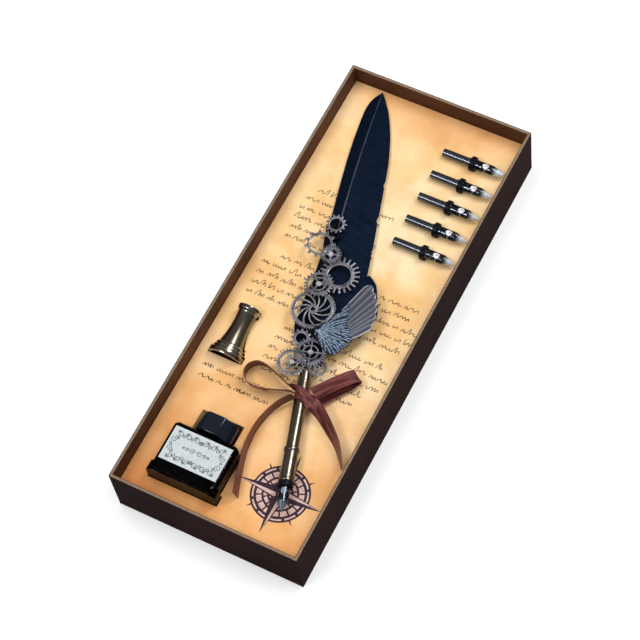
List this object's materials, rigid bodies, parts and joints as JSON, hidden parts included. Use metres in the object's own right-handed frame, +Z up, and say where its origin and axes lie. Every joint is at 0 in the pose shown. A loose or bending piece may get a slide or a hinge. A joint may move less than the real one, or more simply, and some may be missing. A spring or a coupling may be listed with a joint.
{
  "type": "quill pen gift box",
  "caption": "Shallow gift tray with a feather dip pen dressed with gears, a wing and a ribbon bow, beside spare nibs, a turned pen stand and a square ink bottle with a screw cap.",
  "frame": {"origin": "middle of the tray's underside", "axes": "+X across the tray, +Y along it from the pen's nib to the feather's end, +Z up out of the tray"},
  "size_m": [0.119, 0.3, 0.0385],
  "materials": {
    "leatherette": "embossed leather-look paper",
    "lining": "smooth paper",
    "greyboard": "cut board",
    "foam": "soft foam",
    "parchment": "printed paper",
    "antique_bronze": "antique, polished on the high places",
    "feather": "dyed feather",
    "pewter": "antique cast",
    "ribbon": "satin",
    "nib_steel": "polished",
    "black_plastic": "gloss",
    "bottle_glass": "gloss",
    "label": "matt",
    "liner": "soft"
  },
  "bodies": {
    "tray": {"base_paper": "leatherette", "base_board": "greyboard", "wall_left": "greyboard", "wall_right": "greyboard", "wall_far": "greyboard", "wall_near": "greyboard", "wrap_paper": "leatherette", "lining_paper": "lining", "foam_bed": "foam", "parchment_card": "parchment"},
    "pen": {"barrel_tube": "antique_bronze", "barrel_ring": "antique_bronze", "grip_sleeve": "antique_bronze", "grip_end_ring": "antique_bronze", "feather_quill": "feather", "feather_vane_left": "feather", "feather_vane_right": "feather", "backing_feather": "feather", "gear_carrier": "pewter", "crown_gear": "pewter", "sprocket_gear": "pewter", "cross_gear": "pewter", "rake_gear": "pewter", "dial_gear": "pewter", "spiral_gear": "pewter", "pinion_gear": "pewter", "hub_gear": "pewter", "left_gear": "pewter", "right_gear": "pewter", "gear_rivets": "pewter", "wing_ornament": "pewter", "ribbon_knot": "ribbon", "ribbon_loop_left": "ribbon", "ribbon_loop_right": "ribbon", "ribbon_tail_left": "ribbon", "ribbon_tail_right": "ribbon"},
    "pen_nib": {"pen_nib_shank": "nib_steel", "pen_nib_collar": "black_plastic", "pen_nib_blade": "nib_steel"},
    "spare_nib_1": {"spare_nib_1_shank": "nib_steel", "spare_nib_1_collar": "black_plastic", "spare_nib_1_blade": "nib_steel"},
    "spare_nib_2": {"spare_nib_2_shank": "nib_steel", "spare_nib_2_collar": "black_plastic", "spare_nib_2_blade": "nib_steel"},
    "spare_nib_3": {"spare_nib_3_shank": "nib_steel", "spare_nib_3_collar": "black_plastic", "spare_nib_3_blade": "nib_steel"},
    "spare_nib_4": {"spare_nib_4_shank": "nib_steel", "spare_nib_4_collar": "black_plastic", "spare_nib_4_blade": "nib_steel"},
    "spare_nib_5": {"spare_nib_5_shank": "nib_steel", "spare_nib_5_collar": "black_plastic", "spare_nib_5_blade": "nib_steel"},
    "pen_stand": {"pen_stand": "antique_bronze"},
    "ink_bottle": {"bottle_glass": "bottle_glass", "bottle_label": "label"},
    "cap_seal": {"cap_liner": "liner"},
    "cap": {"bottle_cap": "black_plastic"}
  },
  "joints": [
    {"name": "pen_lift", "type": "slide", "parent": "tray", "child": "pen", "axis": [0, 0, 1], "range_m": [0, 0.06]},
    {"name": "pen_nib_pull", "type": "slide", "parent": "pen", "child": "pen_nib", "axis": [0.3173, -0.9482, 0.0157], "range_m": [0, 0.02]},
    {"name": "spare_nib_1_lift", "type": "slide", "parent": "tray", "child": "spare_nib_1", "axis": [0, 0, 1], "range_m": [0, 0.05]},
    {"name": "spare_nib_2_lift", "type": "slide", "parent": "tray", "child": "spare_nib_2", "axis": [0, 0, 1], "range_m": [0, 0.05]},
    {"name": "spare_nib_3_lift", "type": "slide", "parent": "tray", "child": "spare_nib_3", "axis": [0, 0, 1], "range_m": [0, 0.05]},
    {"name": "spare_nib_4_lift", "type": "slide", "parent": "tray", "child": "spare_nib_4", "axis": [0, 0, 1], "range_m": [0, 0.05]},
    {"name": "spare_nib_5_lift", "type": "slide", "parent": "tray", "child": "spare_nib_5", "axis": [0, 0, 1], "range_m": [0, 0.05]},
    {"name": "pen_stand_lift", "type": "slide", "parent": "tray", "child": "pen_stand", "axis": [0, 0, 1], "range_m": [0, 0.05]},
    {"name": "ink_bottle_lift", "type": "slide", "parent": "tray", "child": "ink_bottle", "axis": [0, 0, 1], "range_m": [0, 0.05]},
    {"name": "cap_rise", "type": "slide", "parent": "ink_bottle", "child": "cap_seal", "axis": [0, 1, 0], "range_m": [0, 0.003]},
    {"name": "cap_turn", "type": "hinge", "parent": "cap_seal", "child": "cap", "pos_m": [-0.022, -0.095, 0.0252], "axis": [0, 1, 0], "range_deg": [0, 540]}
  ],
  "couplings": [
    {"joint": "cap_rise", "follows": "cap_turn", "m_per_rad": 0.00031831}
  ]
}
